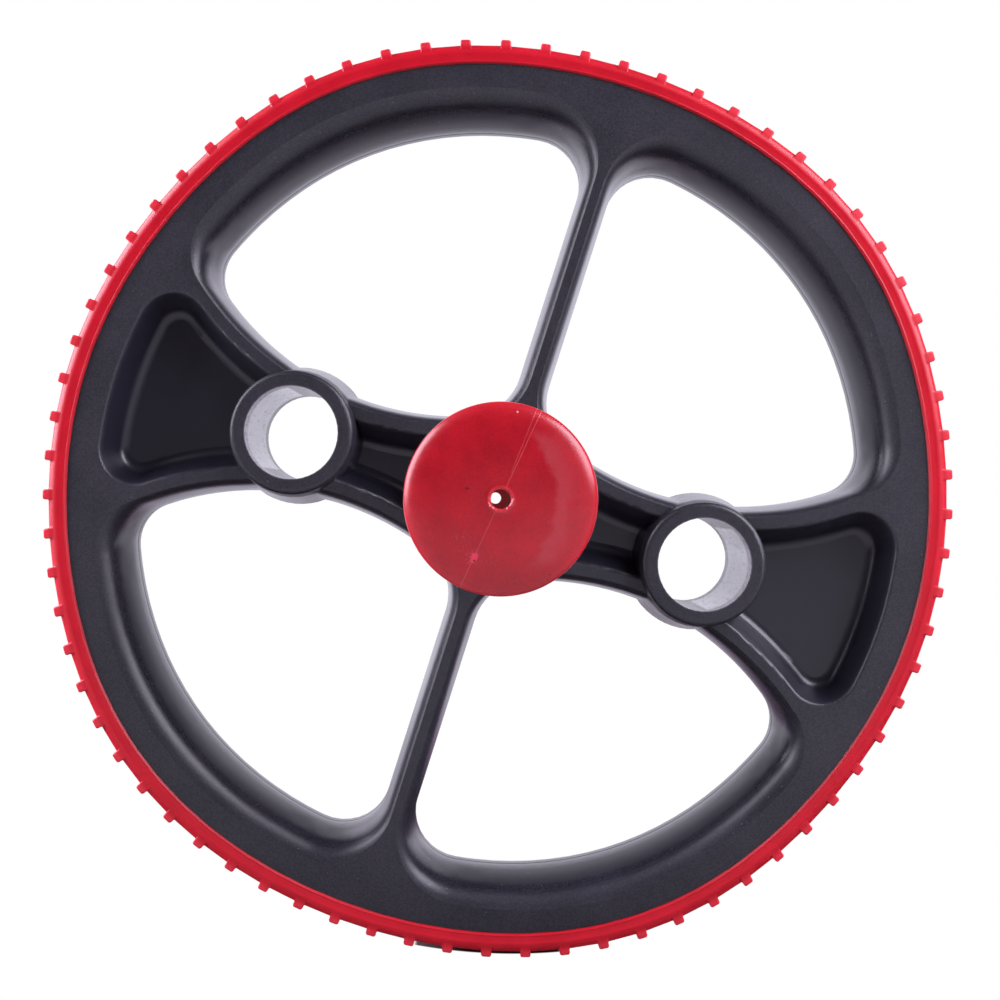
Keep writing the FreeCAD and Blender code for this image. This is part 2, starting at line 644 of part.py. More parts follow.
def make_handle(label, back):
    body = new_body(label)
    profile = new_sketch(body, "HandleProfile", "XZ_Plane")
    handle_profile(profile)
    revolve(body, "Blank", profile)

    ring_profile = new_sketch(body, "RingProfile", "XZ_Plane")
    first_ring = f"({grip_start} + Sizes.ring_margin)"
    ring_floor = "(Sizes.grip_radius_waist - Sizes.ring_depth)"
    ring_top = "(Sizes.grip_radius_waist + Sizes.ring_depth)"
    outline(ring_profile, [
        (ring_floor, f"{first_ring} - Sizes.ring_floor / 2"),
        (ring_top, f"{first_ring} - Sizes.ring_mouth / 2"),
        (ring_top, f"{first_ring} + Sizes.ring_mouth / 2"),
        (ring_floor, f"{first_ring} + Sizes.ring_floor / 2"),
    ])
    ring = revolve(body, "Ring", ring_profile, kind="Groove")
    rings = feature(body, "LinearPattern", "Rings", Occurrences="Sizes.ring_count",
                    Length=f"{grip_end} - {grip_start} - 2 * Sizes.ring_margin")
    rings.Originals = [ring]
    rings.Direction = (origin_feature(body, "Z_Axis"), [""])
    body.Tip = rings

    rounded = rings
    for name, radius, edge_radius, height in (
        ("FlangeEdge", "Sizes.flange_round", "Sizes.flange_radius", "Sizes.handle_reach"),
        ("FlangeBack", "Sizes.flange_back_round", "Sizes.flange_radius", grip_end),
        ("FlangeRoot", "Sizes.grip_root_round", "Sizes.grip_radius_end", grip_end),
        ("GuardEdge", "Sizes.guard_round", "Sizes.guard_radius", grip_start),
        ("GuardBack", "Sizes.guard_round", "Sizes.guard_radius", handle_start),
        ("GuardRoot", "Sizes.grip_root_round", "Sizes.grip_radius_end", grip_start),
    ):
        rounded = round_edges(body, name, rounded, radius,
                              lambda edge: circle_at(edge, edge_radius, height))
    screw_hole(body, "ScrewHole")
    body.Placement = to_axle(180 if back else 0, back)
    return body


def make_screw(label, back):
    """Socket set screw, its tip in the axle's wall and its socket facing out of the collar."""
    body = new_body(label)
    shank_circle = new_sketch(body, "ShankCircle")
    circle(shank_circle, None, None, "Sizes.screw_radius")
    shank = feature(body, "Pad", "Shank", shank_circle, Length="Sizes.screw_length")
    round_tip = feature(body, "Chamfer", "Tip", Size="Sizes.screw_point")
    doc.recompute()
    tip_edges = [f"Edge{i}" for i, edge in enumerate(shank.Shape.Edges, start=1)
                 if circle_at(edge, "Sizes.screw_radius", "0")]
    round_tip.Base = (shank, tip_edges)

    socket_sketch = new_sketch(body, "SocketHexagon", lift="Sizes.screw_length")
    corners = [(f"Sizes.screw_socket * cos({60 * k + 30})", f"Sizes.screw_socket * sin({60 * k + 30})")
               for k in range(6)]
    outline(socket_sketch, corners)
    feature(body, "Pocket", "Socket", socket_sketch, Length="Sizes.screw_socket_depth")
    side = 1 if back else -1
    body.Placement = Placement(Vector(0, side * number(screw_height), -number(screw_tip)),
                               Rotation(Vector(1, 0, 0), 180))
    return body


sub_parts = [make_wheel_body(), make_tyre(), make_axle()]
for side_name, behind in (("front", False), ("rear", True)):
    sub_parts.append(make_bush(f"{side_name}_bush", behind))
    sub_parts.append(make_washer(f"{side_name}_thrust_washer", behind))
    sub_parts.append(make_handle(f"{side_name}_handle", behind))
    sub_parts.append(make_screw(f"{side_name}_set_screw", behind))
doc.recompute()

for item in doc.Objects:
    broken = {"Invalid", "Error"} & set(item.State)
    if broken:
        raise RuntimeError(f"{item.Label} failed: {item.State}")
for piece in sub_parts:
    if piece.Shape.isNull() or not piece.Shape.isValid():
        raise RuntimeError(f"{piece.Label} has no valid shape")

os.makedirs("parts", exist_ok=True)
for piece in sub_parts:
    piece.Shape.exportStep(f"parts/{piece.Label}.step")
    print(piece.Label, "solids", len(piece.Shape.Solids), "volume", round(piece.Shape.Volume, 1))
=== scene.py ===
import math

import bpy
import numpy as np
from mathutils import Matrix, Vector


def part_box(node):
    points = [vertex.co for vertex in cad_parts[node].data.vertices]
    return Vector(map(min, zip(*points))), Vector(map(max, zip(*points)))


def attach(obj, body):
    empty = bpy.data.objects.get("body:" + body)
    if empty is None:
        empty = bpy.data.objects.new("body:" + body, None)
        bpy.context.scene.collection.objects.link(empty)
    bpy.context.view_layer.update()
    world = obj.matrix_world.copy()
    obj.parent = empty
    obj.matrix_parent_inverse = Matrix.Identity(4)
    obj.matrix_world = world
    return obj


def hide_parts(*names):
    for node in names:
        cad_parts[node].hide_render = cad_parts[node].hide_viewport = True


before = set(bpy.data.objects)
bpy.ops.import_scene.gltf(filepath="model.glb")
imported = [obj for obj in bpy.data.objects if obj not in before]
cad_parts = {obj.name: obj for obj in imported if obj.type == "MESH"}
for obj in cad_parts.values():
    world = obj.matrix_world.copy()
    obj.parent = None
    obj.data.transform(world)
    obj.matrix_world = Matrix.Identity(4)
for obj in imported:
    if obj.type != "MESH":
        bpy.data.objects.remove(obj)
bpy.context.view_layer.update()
print("frame loaded,", len(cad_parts), "nodes")

mm = 0.001
tiny = 1e-6  # keeps a division from failing
white = (1, 1, 1, 1)
black = (0, 0, 0, 1)
tiltAngle = math.radians(17.73)  # the wheel's arms are turned this far from level
tiltCos = math.cos(tiltAngle)
tiltSin = math.sin(tiltAngle)

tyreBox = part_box("tyre")
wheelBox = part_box("wheel_body")
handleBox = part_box("front_handle")
tipRadius = tyreBox[1][2]
seatRadius = wheelBox[1][2]
faceHalf = 25.0 * mm  # mid plane to the wheel's face
handleReach = -handleBox[0][1]  # mid plane to the handle's end
handleStart = -handleBox[1][1]  # and to its collar


# Shader building

class Wire:
    # a node's output that can be reckoned with: each operator adds one Math node
    def __init__(self, paint, socket):
        self.paint = paint
        self.socket = socket

    def reckon(self, operation, first, second=0.0):
        return self.paint.node("ShaderNodeMath", {"operation": operation}, {0: first, 1: second})

    def __add__(self, other):
        return self.reckon("ADD", self, other)

    def __sub__(self, other):
        return self.reckon("SUBTRACT", self, other)

    def __rsub__(self, other):
        return self.reckon("SUBTRACT", other, self)

    def __mul__(self, other):
        return self.reckon("MULTIPLY", self, other)

    def __pow__(self, other):
        return self.reckon("POWER", self, other)

    def __abs__(self):
        return self.reckon("ABSOLUTE", self)

    __radd__ = __add__
    __rmul__ = __mul__

    def swing(self, amount):
        # a pattern's departure from its mean of one half
        return (self - 0.5) * amount


class Paint:
    # a material, or the world, while its nodes are being laid out
    def __init__(self, owner):
        self.owner = owner
        owner.use_nodes = True
        self.nodes = owner.node_tree.nodes
        self.links = owner.node_tree.links
        self.nodes.clear()

    def node(self, kind, settings=None, sockets=None, out=0):
        made = self.nodes.new(kind)
        for key, value in (settings or {}).items():
            setattr(made, key, value)
        for key, value in (sockets or {}).items():
            if isinstance(value, Wire):
                self.links.new(value.socket, made.inputs[key])
            else:
                made.inputs[key].default_value = value
        return Wire(self, made.outputs[out]) if made.outputs else None

    def place(self):
        return self.node("ShaderNodeTexCoord", out="Object")

    def axes(self, where):
        split = self.node("ShaderNodeSeparateXYZ", sockets={0: where})
        return [Wire(self, out) for out in split.socket.node.outputs]

    def stretched(self, where, scale):
        return self.node("ShaderNodeMapping", sockets={"Vector": where, "Scale": scale})

    def noise(self, where, size, detail, roughness=0.5):
        return self.node("ShaderNodeTexNoise", sockets={
            "Vector": where, "Scale": 1 / size, "Detail": detail, "Roughness": roughness})

    def cells(self, where, size):
        return self.node("ShaderNodeTexVoronoi", sockets={"Vector": where, "Scale": 1 / size}, out="Distance")

    def attribute(self, name):
        return self.node("ShaderNodeAttribute", {"attribute_name": name}, out="Fac")

    def ray(self, kind):
        return self.node("ShaderNodeLightPath", out=f"Is {kind} Ray")

    def ease(self, value, start, end):
        # 0 before start, 1 past end, smooth between; start may be the larger
        return self.node("ShaderNodeMapRange", {"interpolation_type": "SMOOTHSTEP"},
                         {"Value": value, "From Min": start, "From Max": end})

    def blend(self, share, first, second):
        return self.node("ShaderNodeMix", {"data_type": "RGBA"}, {0: share, 6: first, 7: second}, out=2)

    def bump(self, height, depth, strength):
        return self.node("ShaderNodeBump", sockets={
            "Height": height, "Distance": depth, "Strength": strength})

    def shader(self, **sockets):
        named = {key.replace("_", " "): value for key, value in sockets.items()}
        return self.node("ShaderNodeBsdfPrincipled", sockets=named)

    def glow(self, colour):
        return self.node("ShaderNodeEmission", sockets={"Color": colour, "Strength": 1.0})

    def mixShader(self, share, first, second):
        return self.node("ShaderNodeMixShader", sockets={0: share, 1: first, 2: second})

    def finish(self, surface, output="ShaderNodeOutputMaterial"):
        self.node(output, sockets={"Surface": surface})
        return self.owner


def newPaint(name):
    return Paint(bpy.data.materials.new(name))


def hypot(first, second):
    return (first * first + second * second) ** 0.5


# Meshes from numpy grids

def gridMesh(name, points, closed=False, flip=False):
    # points[row, column] are joined to their neighbours by quads; a closed grid's last row and column
    # are joined to its first
    rows, columns = points.shape[:2]
    index = np.arange(rows * columns).reshape(rows, columns)
    if closed:
        index = np.pad(index, ((0, 1), (0, 1)), mode="wrap")
    here, after = index[:-1], index[1:]
    quads = np.stack([here[:, :-1], here[:, 1:], after[:, 1:], after[:, :-1]], axis=-1).reshape(-1, 4)
    if flip:
        quads = quads[:, ::-1]
    mesh = bpy.data.meshes.new(name)
    mesh.from_pydata(points.reshape(-1, 3).tolist(), [], quads.tolist())
    mesh.update()
    return mesh


def pointValues(mesh, name, values):
    # one number for each point, which a material reads by its name
    attribute = mesh.attributes.new(name, "FLOAT", "POINT")
    attribute.data.foreach_set("value", values.ravel().astype(np.float32))


def showPiece(mesh, body, material, nodes, sharp):
    # smooth shading, broken where two faces meet more steeply than the sharp angle
    piece = bpy.data.objects.new(mesh.name, mesh)
    bpy.context.scene.collection.objects.link(piece)
    mesh.materials.append(material)
    mesh.shade_smooth()
    mesh.set_sharp_from_angle(angle=math.radians(sharp))
    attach(piece, body)
    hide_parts(*nodes)
    return piece


def arcPoints(centre, radius, start, stop, count):
    # points on a circle, angles in degrees
    angle = np.radians(np.linspace(start, stop, count))
    return np.stack([centre[0] + radius * np.cos(angle), centre[1] + radius * np.sin(angle)], axis=-1)


# Materials: a pair in a look is where a mark or pattern begins and where it is full

wheelLook = {
    "face": (0.0086, 0.0083, 0.0122, 1),
    "facePale": (0.0285, 0.0275, 0.0375, 1),
    "speck": (0.24, 0.23, 0.28, 1),
    # painted shade: the recesses' floors and walls are darker than the face
    "recess": (0.0125, 0.0121, 0.0195, 1),
    # painted reflection: the bores are the same black plastic, made pale as if mirroring the bright backdrop
    # at a grazing angle
    "bore": (0.13, 0.12, 0.15, 1),
    "boreDirt": (0.022, 0.020, 0.026, 1),
    "seam": (0.004, 0.004, 0.005, 1),
    "waist": 59.0 * mm,  # axle to the arm's waist
    "sideCentre": 134.0 * mm,  # centre of the arm side's arc, off the arm's middle line
    "recessSide": 121.8 * mm,  # radius of the recess's side about it
    "recessRim": 154.8 * mm,
    "boss": 82.4 * mm,  # axle to the bore's middle
    "boreWall": 18.3 * mm,
    "edge": 0.5 * mm,  # over which one finish gives way to the next
    "recessDepth": (1.0 * mm, 3.0 * mm),  # below the face
    "wallDepth": (0.5 * mm, 6.5 * mm),
    "smoothDepth": (0.1 * mm, 1.5 * mm),
    "seamHalf": (0.8 * mm, 0.3 * mm),  # off the mid plane
    "seamStop": (160 * mm, 158 * mm),  # short of the tyre's seat
    "seamBore": 2.0 * mm,  # by which it stays clear of the bore
    "grimeDepth": (23 * mm, 28 * mm),  # grime gathers at the bores' mouths
    "grainSize": 0.7 * mm,
    "cloudSize": 30 * mm,
    "wipeSize": 9 * mm,
    "wipeStretch": (1, 3, 1),
    "dustSize": 1.0 * mm,
    "streakSize": 1.6 * mm,
    "streakStretch": (1, 0.16, 1),
    "grimeSize": 1.9 * mm,
    "grainSpread": (0.35, 0.65),
    "cloudSpread": (0.3, 0.75),
    "streakSpread": (0.3, 0.75),
    "streakCut": (0.5, 0.8),
    "dustCut": (0.75, 0.80),
    "grimeCut": (0.56, 0.66),
    "share": {"paleCloud": 0.35, "paleGrain": 0.65, "dust": 0.45, "streak": 0.75, "seam": 0.9,
              "dullSeam": 0.75, "dullGrime": 0.85, "dullStreak": 0.35, "smooth": 0.95},
    "rough": {"base": 0.44, "cloud": 0.10, "wipe": 0.08, "grain": 0.10, "wall": -0.20, "bore": -0.12,
              "recess": -0.12, "dull": 0.55},
    "shine": 0.5,
    "dullShine": 0.12,
    "grainDepth": 0.05 * mm,
    "grainStrength": 0.45,
}


def makeWheelPlastic():
    look, share, rough = wheelLook, wheelLook["share"], wheelLook["rough"]
    edge = look["edge"]
    p = newPaint("wheel_plastic_moulded")
    where = p.place()
    x, y, z = p.axes(where)
    along = abs(x * tiltCos - z * tiltSin)
    across = abs(x * tiltSin + z * tiltCos)
    span = hypot(along, across)
    depth = abs(y)

    def below(key):
        return p.ease(depth, faceHalf - look[key][0], faceHalf - look[key][1])

    inRecess = p.ease(hypot(along - look["waist"], across - look["sideCentre"]),
                      look["recessSide"] - edge, look["recessSide"] + edge)
    inRecess = inRecess * p.ease(span, look["recessRim"] + edge, look["recessRim"] - edge)
    inRecess = inRecess * below("recessDepth")
    boreReach = hypot(along - look["boss"], across)
    inBore = p.ease(boreReach, look["boreWall"], look["boreWall"] - edge)
    seam = p.ease(depth, *look["seamHalf"]) * p.ease(span, *look["seamStop"])
    seam = seam * p.ease(boreReach, look["boreWall"], look["boreWall"] + look["seamBore"])
    wall = below("wallDepth") * (1 - inRecess) * (1 - inBore)
    smooth = below("smoothDepth") * (1 - inRecess)  # the walls have hardly any grain

    grain = p.noise(where, look["grainSize"], detail=3, roughness=0.6)
    cloud = p.noise(where, look["cloudSize"], detail=4, roughness=0.6)
    wipe = p.noise(p.stretched(where, look["wipeStretch"]), look["wipeSize"], detail=5, roughness=0.7)
    dust = p.ease(p.noise(where, look["dustSize"], detail=1), *look["dustCut"])
    streak = p.noise(p.stretched(where, look["streakStretch"]), look["streakSize"], detail=4, roughness=0.7)
    grime = p.ease(p.noise(where, look["grimeSize"], detail=4, roughness=0.75), *look["grimeCut"])
    grime = grime * p.ease(depth, *look["grimeDepth"])

    pale = p.ease(cloud, *look["cloudSpread"]) * share["paleCloud"]
    pale = pale + p.ease(grain, *look["grainSpread"]) * share["paleGrain"]
    colour = p.blend(pale, look["face"], look["facePale"])
    colour = p.blend(dust * share["dust"], colour, look["speck"])
    stained = p.ease(streak, *look["streakSpread"]) * share["streak"]
    # the bores get a pale colour, a painted reflection of the backdrop, with real drool streaks over it
    colour = p.blend(inBore, colour, p.blend(stained, look["bore"], look["boreDirt"]))
    # the recesses are darkened: painted shade
    colour = p.blend(inRecess, colour, look["recess"])
    colour = p.blend(seam * share["seam"], colour, look["seam"])
    roughness = rough["base"] + cloud.swing(rough["cloud"]) + wipe.swing(rough["wipe"])
    roughness = roughness + grain.swing(rough["grain"]) * (1 - wall) + wall * rough["wall"]
    roughness = roughness + inBore * rough["bore"] + inRecess * rough["recess"]
    normal = p.bump(grain * (1 - smooth * share["smooth"]), look["grainDepth"], look["grainStrength"])
    face = p.shader(Base_Color=colour, Roughness=roughness, Normal=normal, Specular_IOR_Level=look["shine"])
    dull = p.shader(Base_Color=look["seam"], Roughness=rough["dull"], Normal=normal,
                    Specular_IOR_Level=look["dullShine"])
    dirt = grime * share["dullGrime"] + p.ease(streak, *look["streakCut"]) * share["dullStreak"]
    return p.finish(p.mixShader(seam * share["dullSeam"] + inBore * dirt, face, dull))


tyreLook = {
    "red": (0.56, 0.0032, 0.017, 1),
    "deep": (0.49, 0.0025, 0.0135, 1),
    "dusty": (0.66, 0.030, 0.050, 1),
    # painted highlight: the cleats' raised parts are lighter
    "tip": (0.80, 0.040, 0.065, 1),
    # painted shade on the lip's inner slope, next to the rim
    "lip": (0.26, 0.0015, 0.006, 1),
    "cloudSize": 14 * mm,
    "grainSize": 0.6 * mm,
    "scuffSize": 2.5 * mm,
    "scuffStretch": (1, 0.25, 1),
    "cloudSpread": (0.3, 0.7),
    "scuffCut": (0.58, 0.75),
    "tipRise": (0.1, 0.9),  # shares of a cleat's height
    "share": {"scuff": 0.10, "tip": 0.5},
    "rough": {"base": 0.38, "cloud": 0.10, "scuff": 0.10},
    "shine": 0.36,
    "grainDepth": 0.03 * mm,
    "grainStrength": 0.3,
}


def makeTyreRubber():
    look, share, rough = tyreLook, tyreLook["share"], tyreLook["rough"]
    p = newPaint("tyre_rubber_red")
    where = p.place()
    cloud = p.noise(where, look["cloudSize"], detail=4, roughness=0.6)
    grain = p.noise(where, look["grainSize"], detail=3, roughness=0.6)
    scuff = p.noise(p.stretched(where, look["scuffStretch"]), look["scuffSize"], detail=5, roughness=0.75)
    scuff = p.ease(scuff, *look["scuffCut"])
    colour = p.blend(p.ease(cloud, *look["cloudSpread"]), look["deep"], look["red"])
    colour = p.blend(scuff * share["scuff"], colour, look["dusty"])
    # painted shade: the lip's inner slope is darkened by the "inner" value
    colour = p.blend(p.attribute("inner"), colour, look["lip"])
    # painted highlight on the cleats, lighter the higher they rise
    colour = p.blend(p.ease(p.attribute("raised"), *look["tipRise"]) * share["tip"], colour, look["tip"])
    roughness = rough["base"] + cloud.swing(rough["cloud"]) + scuff * rough["scuff"]
    surface = p.shader(Base_Color=colour, Roughness=roughness, Specular_IOR_Level=look["shine"],
                       Normal=p.bump(grain, look["grainDepth"], look["grainStrength"]))
    return p.finish(surface)


handleLook = {
    "red": (0.37, 0.0045, 0.013, 1),
    "bright": (0.56, 0.0070, 0.018, 1),
    # painted glow in the end hole and bore, standing in for light through the end's wall
    "inside": (0.12, 0.010, 0.011, 1),
    "marks": {  # colour and share of each, laid one over another
        # a milky smear that is partly a painted reflection of a softbox
        "smearAndSheen": ((0.52, 0.085, 0.10, 1), 0.44),
        "scuff": ((0.52, 0.085, 0.10, 1), 1.0),
        "line": ((0.66, 0.14, 0.15, 1), 0.42),
        "gate": ((0.95, 0.045, 0.11, 1), 0.85),
        "splinter": ((0.66, 0.14, 0.15, 1), 0.8),
        "pit": ((0.11, 0.003, 0.006, 1), 0.9),
        "speck": ((0.11, 0.003, 0.006, 1), 0.85),
        "fleck": ((0.9, 0.7, 0.65, 1), 0.55),
        "lip": ((0.66, 0.030, 0.045, 1), 0.7),
    },
    "front": (0, -1 * mm),
    "endDepth": (7 * mm, 5 * mm),  # from the handle's end
    "boreDepth": (13 * mm, 15 * mm),
    "boreEdge": (8.3 * mm, 7.9 * mm),
    "holeEdge": (3.3 * mm, 3.0 * mm),
    "lipEdge": (4.3 * mm, 3.7 * mm),
    "tearSize": 0.5 * mm,
    "grainSize": 0.55 * mm,
    "cloudSize": 9 * mm,
    "wornSize": 2.5 * mm,
    "grainSpread": (0.35, 0.65),
    "cloudSpread": (0.3, 0.7),
    "mottle": 0.5,  # share of each of these two
    "seamTurn": math.radians(24.8),  # the mould's seam, turned from upright
    "seamHalf": 0.22 * mm,
    "seamCore": 0.2,  # share of that within which it is full
    "seamLeast": 0.55,
    "seamWorn": 0.6,
    "doubleTurn": math.radians(21.8),  # a second line beside it, above the hole
    "doubleHalf": 0.18 * mm,
    "doubleStart": (6 * mm, 9 * mm),
    "doubleShare": 0.75,
    "spotCore": 0.4,
    "gateSpot": (-7.7 * mm, -16.8 * mm),  # torn stub of the moulding gate
    "gateNarrow": 1.8,
    "gateEdge": (1.9 * mm, 1.3 * mm),
    "gateTear": 5.0 * mm,
    "splinterReach": 3.4 * mm,
    "splinterCut": (0.58, 0.66),
    "pitSize": 1.2 * mm,
    "pitCut": (0.36, 0.20),
    "speckSpot": (-9.6 * mm, 3.0 * mm),
    "speckFlat": 1.4,
    "speckEdge": (0.75 * mm, 0.35 * mm),
    "speckTear": 0.9 * mm,
    "fleckSpot": (4.8 * mm, 25.0 * mm),
    "fleckReach": 0.42 * mm,
    "scuffs": ((-11.5 * mm, -11.5 * mm, 5.0 * mm), (-2.5 * mm, -17.5 * mm, 3.0 * mm)),  # x, z, reach
    "scuffShare": 0.6,
    "scratchSize": 1.2 * mm,
    "scratchStretch": (2.4, 1, 0.6),
    "scratchCut": (0.53, 0.66),
    "scratchShare": 0.07,  # away from the scuffs
    "hazeMiddle": 16.0 * mm,  # axle to the smear's edge
    "hazeBend": 21.0,  # by which that edge bends in above and below, per metre
    "hazeEdge": (-1.2 * mm, 1.2 * mm),
    "hazeThick": (8 * mm, 1.5 * mm),  # past its edge
    "hazeThin": 0.25,
    "hazeLeast": 0.44,
    "hazeWorn": 0.8,
    "hazeRim": (27 * mm, 23 * mm),
    "hazeTop": (21 * mm, 16 * mm),
    "waveSize": 4.5 * mm,
    "waveStretch": (0.6, 1, 1),
    "hazeWave": 6.5 * mm,
    "wipedStart": (18 * mm, 20 * mm),  # wiped off at the right, below the middle
    "wipedTop": (0.3 * mm, -1.2 * mm),
    "wipedWave": 3 * mm,
    "wipedShare": 0.6,
    "rough": {"base": 0.30, "cloud": 0.12, "scuff": 0.3, "gate": 0.2, "smearAndSheen": 0.08},
    "relief": {"line": 0.4, "gate": 2.0, "pit": -1.2, "grain": 0.22},
    "reliefDepth": 0.12 * mm,
    "reliefStrength": 0.6,
    "shine": 0.48,
}


def makeHandlePlastic():
    look, rough, relief = handleLook, handleLook["rough"], handleLook["relief"]
    p = newPaint("handle_plastic_red")
    where = p.place()
    x, y, z = p.axes(where)
    radius = hypot(x, z)
    front = p.ease(y, *look["front"])  # the end that the photograph shows has its own marks
    inward = handleReach - abs(y)

    def seam(turn, width):
        offset = abs(x * math.cos(turn) - z * math.sin(turn))
        return p.ease(offset, width, width * look["seamCore"])

    def near(spot, reach):
        return p.ease(hypot(x - spot[0], z - spot[1]), reach, reach * look["spotCore"])

    tear = p.noise(where, look["tearSize"], detail=3, roughness=0.7)
    grain = p.noise(where, look["grainSize"], detail=3, roughness=0.65)
    cloud = p.noise(where, look["cloudSize"], detail=4, roughness=0.6)
    worn = p.noise(where, look["wornSize"], detail=3, roughness=0.6)
    line = seam(look["seamTurn"], look["seamHalf"]) * (look["seamLeast"] + worn * look["seamWorn"])
    double = seam(look["doubleTurn"], look["doubleHalf"]) * p.ease(z, *look["doubleStart"])
    line = line + double * front * look["doubleShare"]

    # the torn gate leans along the seam
    leanCos, leanSin = math.cos(look["seamTurn"]), math.sin(look["seamTurn"])
    gateX, gateZ = x - look["gateSpot"][0], z - look["gateSpot"][1]
    gateReach = hypot((gateX * leanCos - gateZ * leanSin) * look["gateNarrow"],
                      gateX * leanSin + gateZ * leanCos)
    gate = p.ease(gateReach + tear.swing(look["gateTear"]), *look["gateEdge"]) * front
    pits = p.ease(p.cells(where, look["pitSize"]), *look["pitCut"]) * gate
    splinters = p.ease(tear, *look["splinterCut"]) * near(look["gateSpot"], look["splinterReach"]) * front
    speckReach = hypot(x - look["speckSpot"][0], (z - look["speckSpot"][1]) * look["speckFlat"])
    speck = p.ease(speckReach + tear.swing(look["speckTear"]), *look["speckEdge"]) * front
    fleck = near(look["fleckSpot"], look["fleckReach"]) * front

    # a milky smear, partly a painted reflection of a softbox, whose edge bends round the hole
    wave = p.noise(p.stretched(where, look["waveStretch"]), look["waveSize"], detail=5, roughness=0.7)
    smear = x - look["hazeMiddle"] + z * z * look["hazeBend"] + wave.swing(look["hazeWave"])
    thick = look["hazeThin"] + (1 - look["hazeThin"]) * p.ease(smear, *look["hazeThick"])
    smearAndSheen = p.ease(smear, *look["hazeEdge"]) * thick * (look["hazeLeast"] + worn * look["hazeWorn"])
    wiped = p.ease(x + wave.swing(look["wipedWave"]), *look["wipedStart"]) * p.ease(z, *look["wipedTop"])
    smearAndSheen = smearAndSheen * (1 - wiped * look["wipedShare"])
    smearAndSheen = smearAndSheen * p.ease(radius, *look["hazeRim"]) * p.ease(abs(z), *look["hazeTop"]) * front

    drawn = p.stretched(where, look["scratchStretch"])
    scratch = p.ease(p.noise(drawn, look["scratchSize"], detail=5, roughness=0.8), *look["scratchCut"])
    scuffed = scratch * look["scratchShare"]
    for spotX, spotZ, reach in look["scuffs"]:
        scuffed = scuffed + scratch * near((spotX, spotZ), reach) * front * look["scuffShare"]
    lip = p.ease(radius, *look["lipEdge"]) * p.ease(inward, *look["endDepth"])
    inside = p.ease(radius, *look["holeEdge"])
    inside = inside + p.ease(radius, *look["boreEdge"]) * p.ease(inward, *look["boreDepth"])

    mottle = p.ease(cloud, *look["cloudSpread"]) + p.ease(grain, *look["grainSpread"])
    colour = p.blend(mottle * look["mottle"], look["red"], look["bright"])
    masks = {"smearAndSheen": smearAndSheen, "scuff": scuffed, "line": line, "gate": gate, "splinter": splinters,
             "pit": pits, "speck": speck, "fleck": fleck, "lip": lip}
    for name, (tone, share) in look["marks"].items():
        colour = p.blend(masks[name] * share, colour, tone)
    paintedGlow = p.blend(inside, black, look["inside"])  # painted glow standing in for light that comes through the end's wall
    roughness = rough["base"] + cloud.swing(rough["cloud"]) + scuffed * rough["scuff"]
    roughness = roughness + gate * rough["gate"] + smearAndSheen * rough["smearAndSheen"]
    height = line * relief["line"] + gate * tear * relief["gate"] + pits * relief["pit"]
    height = height + grain * relief["grain"]
    surface = p.shader(Base_Color=colour, Roughness=roughness, Specular_IOR_Level=look["shine"],
                       Emission_Color=paintedGlow, Emission_Strength=1.0,
                       Normal=p.bump(height, look["reliefDepth"], look["reliefStrength"]))
    return p.finish(surface)


steelLook = {
    "millScale": (0.030, 0.006, 0.007, 1),  # left inside a tube
    "scaleEdge": (0.5 * mm, 0.1 * mm),  # off the tube's bore
    "scaleRough": 0.55,
    "streakSize": 0.8 * mm,
    "streakStretch": (1, 0.04, 1),  # drawn along the axle
    "streakShade": 0.85,
    "streakRough": 0.2,
}


def makeSteel(name, colour, roughness, bore=0.0):
    look = steelLook
    p = newPaint(name)
    where = p.place()
    x, z = p.axes(where)[::2]
    streak = p.noise(p.stretched(where, look["streakStretch"]), look["streakSize"], detail=4)
    scale = p.ease(hypot(x, z), bore + look["scaleEdge"][0], bore + look["scaleEdge"][1])
    shaded = [value * look["streakShade"] for value in colour[:3]] + [1]
    tone = p.blend(scale, p.blend(streak, shaded, colour), look["millScale"])
    surface = p.shader(Base_Color=tone, Metallic=1 - scale,
                       Roughness=roughness + streak.swing(look["streakRough"]) + scale * look["scaleRough"])
    return p.finish(surface)


nylonLook = {
    "shade": (0.62, 0.60, 0.53, 1),
    "pale": (0.74, 0.72, 0.66, 1),
    "cloudSize": 4 * mm,
    "rough": {"base": 0.45, "cloud": 0.1},
}


def makeNylon():
    look, rough = nylonLook, nylonLook["rough"]
    p = newPaint("bush_nylon_natural")
    cloud = p.noise(p.place(), look["cloudSize"], detail=3)
    surface = p.shader(Base_Color=p.blend(cloud, look["shade"], look["pale"]),
                       Roughness=rough["base"] + cloud.swing(rough["cloud"]))
    return p.finish(surface)


wheelPlastic = makeWheelPlastic()
tyreRubber = makeTyreRubber()
handlePlastic = makeHandlePlastic()
nodeFinish = {
    "axle_tube": makeSteel("axle_steel_drawn", (0.50, 0.51, 0.53, 1), 0.35, bore=6.5 * mm),
    "front_bush": makeNylon(),
    "front_thrust_washer": makeSteel("washer_zinc", (0.60, 0.60, 0.58, 1), 0.32),
    "front_set_screw": makeSteel("screw_black_oxide", (0.06, 0.06, 0.065, 1), 0.4),
}
for name in ("bush", "thrust_washer", "set_screw"):
    nodeFinish[f"rear_{name}"] = nodeFinish[f"front_{name}"]
for name, material in nodeFinish.items():
    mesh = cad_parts[name].data
    mesh.materials.clear()
    mesh.materials.append(material)
print("materials made")


# Wheel: the moulding shrank, so arms and spokes pull the rim in and it bulges between them

